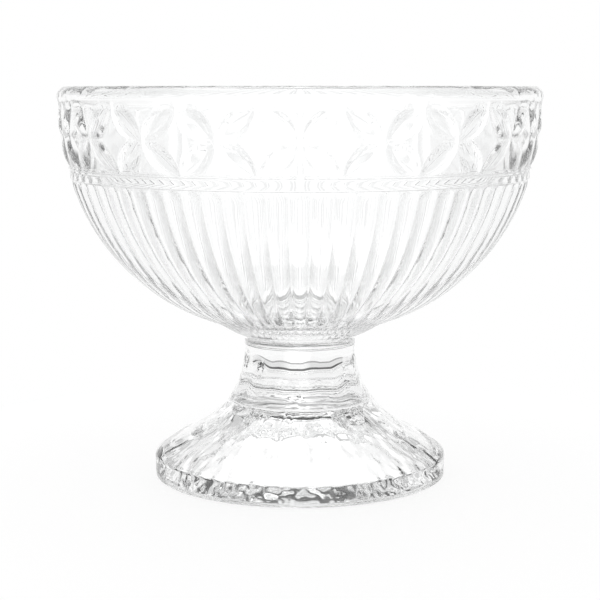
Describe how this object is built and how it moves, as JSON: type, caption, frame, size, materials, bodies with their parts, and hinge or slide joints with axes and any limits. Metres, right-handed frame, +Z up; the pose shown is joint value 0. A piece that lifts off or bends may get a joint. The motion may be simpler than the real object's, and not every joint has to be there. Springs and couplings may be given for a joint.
{
  "type": "footed ice cream cup",
  "caption": "Clear pressed-glass ice cream cup: ribbed bowl with a flower band under its rounded lip, on a faceted waisted stem and a flared hollow foot.",
  "frame": {"origin": "centre of the foot, on the plane that the cup stands on", "axes": "+Z up along the cup's axis, -Y towards the front"},
  "size_m": [0.1104, 0.1104, 0.09],
  "materials": {
    "clear_glass": "clear colourless pressed glass, fire polished"
  },
  "bodies": {
    "root": {"bowl": "clear_glass", "collar": "clear_glass", "stem": "clear_glass", "foot": "clear_glass"}
  },
  "joints": []
}
